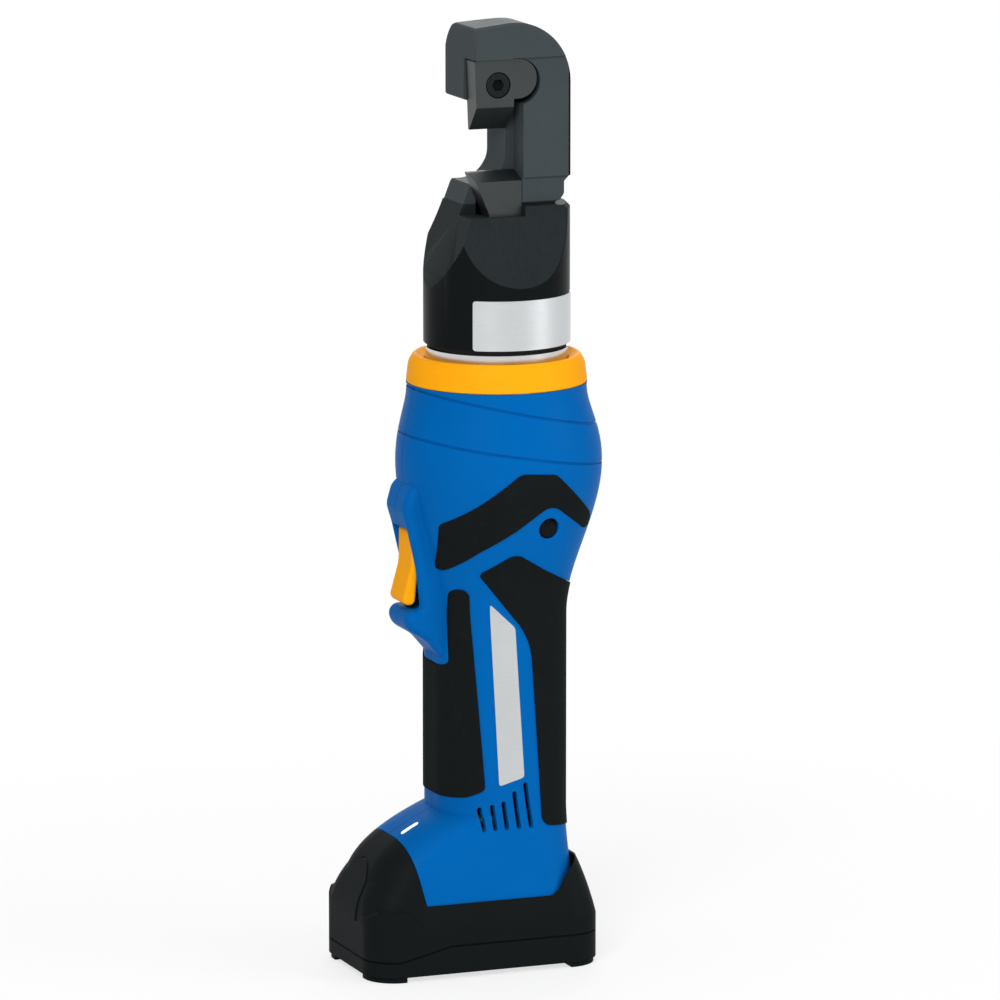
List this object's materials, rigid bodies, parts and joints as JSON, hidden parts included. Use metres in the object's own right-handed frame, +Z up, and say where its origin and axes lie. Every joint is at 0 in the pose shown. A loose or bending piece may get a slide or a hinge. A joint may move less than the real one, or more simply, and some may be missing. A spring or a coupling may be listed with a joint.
{
  "type": "electro-hydraulic bolt cutter",
  "caption": "Hand-held in-line electro-hydraulic bolt cutter: swivelling C-shaped cutting head on a moulded housing with soft grips, lever trigger and clip-on battery pack.",
  "frame": {"origin": "on the floor, under the middle of the part's box", "axes": "+Z up along the tool axis, -X towards the trigger, -Y towards the side with the blades"},
  "size_m": [0.0956, 0.0698, 0.3385],
  "materials": {
    "blue_plastic": "fine moulded texture",
    "orange_plastic": "satin moulded",
    "soft_rubber": "matt soft touch",
    "black_oxide_steel": "black oxide, lightly polished on edges",
    "blade_steel": "ground tool steel",
    "dark_screw": "black oxide",
    "bright_steel": "turned and polished",
    "bare_aluminium": "machined",
    "black_plastic": "fine moulded texture",
    "white_lens": "translucent",
    "circuit_board": "solder mask",
    "cell_can": "sleeved cell",
    "copper": "plated"
  },
  "bodies": {
    "housing": {"housing_left": "blue_plastic", "housing_right": "blue_plastic", "collar_ring": "orange_plastic", "housing_screws": "dark_screw", "status_light": "white_lens", "cylinder_barrel": "bright_steel", "head_retaining_ring": "bright_steel", "motor_can": "bright_steel", "motor_magnets": "bright_steel", "motor_end_cap": "black_plastic", "gear_case": "bright_steel", "carrier_bearing": "bright_steel", "pump_block": "bare_aluminium", "pump_plunger": "bright_steel", "plunger_plug": "bright_steel", "delivery_valve": "bright_steel", "oil_bladder": "soft_rubber", "trigger_pin": "bright_steel", "trigger_switch": "black_plastic", "control_board": "circuit_board", "contact_block": "black_plastic", "chevron_grip_left": "soft_rubber", "chevron_grip_right": "soft_rubber", "front_grip_left": "soft_rubber", "front_grip_right": "soft_rubber", "rear_grip_left": "soft_rubber", "rear_grip_right": "soft_rubber"},
    "head": {"head_frame": "black_oxide_steel", "fixed_blade": "blade_steel", "fixed_blade_screw": "dark_screw", "return_spring": "bright_steel"},
    "ram": {"piston": "bright_steel", "piston_seal": "soft_rubber", "moving_blade": "blade_steel", "moving_blade_screw": "dark_screw"},
    "trigger": {"trigger": "orange_plastic", "trigger_spring": "bright_steel"},
    "release": {"release_button": "black_plastic"},
    "rotor": {"rotor": "bright_steel", "sun_gear": "bright_steel"},
    "carrier": {"eccentric_carrier": "bright_steel", "eccentric_bearing": "bright_steel"},
    "planet_1": {"planet_gear_1": "bright_steel"},
    "planet_2": {"planet_gear_2": "bright_steel"},
    "planet_3": {"planet_gear_3": "bright_steel"},
    "pack": {"pack_top_shell": "black_plastic", "pack_tray": "black_plastic", "pack_screws": "dark_screw", "pack_cells": "cell_can", "pack_board": "circuit_board", "pack_terminals": "copper"},
    "latch": {"pack_latch": "black_plastic"}
  },
  "joints": [
    {"name": "head_swivel", "type": "hinge", "parent": "housing", "child": "head", "pos_m": [0.00995, 0, 0.2225], "axis": [0, 0, 1], "range_deg": [-175, 175]},
    {"name": "ram_stroke", "type": "slide", "parent": "head", "child": "ram", "axis": [0, 0, 1], "range_m": [0, 0.0145], "stiffness_N_per_m": 3000, "springref_m": -0.004, "deforming": ["return_spring"]},
    {"name": "trigger_pull", "type": "hinge", "parent": "housing", "child": "trigger", "pos_m": [-0.02055, 0, 0.1635], "axis": [0, -1, 0], "range_deg": [0, 8], "stiffness_Nm_per_rad": 0.4, "springref_deg": -5.73},
    {"name": "release_press", "type": "slide", "parent": "housing", "child": "release", "axis": [0, 1, 0], "range_m": [0, 0.002], "stiffness_N_per_m": 900, "springref_m": -0.001},
    {"name": "rotor_spin", "type": "hinge", "parent": "housing", "child": "rotor", "pos_m": [0.00995, 0, 0.094], "axis": [0, 0, 1], "continuous": true},
    {"name": "carrier_spin", "type": "hinge", "parent": "housing", "child": "carrier", "pos_m": [0.00995, 0, 0.14], "axis": [0, 0, 1], "continuous": true},
    {"name": "pack_removal", "type": "slide", "parent": "housing", "child": "pack", "axis": [0, 0, -1], "range_m": [0, 0.045]},
    {"name": "latch_press", "type": "slide", "parent": "pack", "child": "latch", "axis": [1, 0, 0], "range_m": [0, 0.0025], "stiffness_N_per_m": 900, "springref_m": -0.001},
    {"name": "planet_1_spin", "type": "hinge", "parent": "carrier", "child": "planet_1", "pos_m": [0.02007, 0, 0.131], "axis": [0, 0, 1], "continuous": true},
    {"name": "planet_2_spin", "type": "hinge", "parent": "carrier", "child": "planet_2", "pos_m": [0.00489, 0.00877, 0.131], "axis": [0, 0, 1], "continuous": true},
    {"name": "planet_3_spin", "type": "hinge", "parent": "carrier", "child": "planet_3", "pos_m": [0.00489, -0.00877, 0.131], "axis": [0, 0, 1], "continuous": true}
  ],
  "couplings": [
    {"joint": "carrier_spin", "follows": "rotor_spin", "ratio": 0.22222},
    {"joint": "planet_1_spin", "follows": "rotor_spin", "ratio": -0.62222},
    {"joint": "planet_2_spin", "follows": "rotor_spin", "ratio": -0.62222},
    {"joint": "planet_3_spin", "follows": "rotor_spin", "ratio": -0.62222}
  ]
}
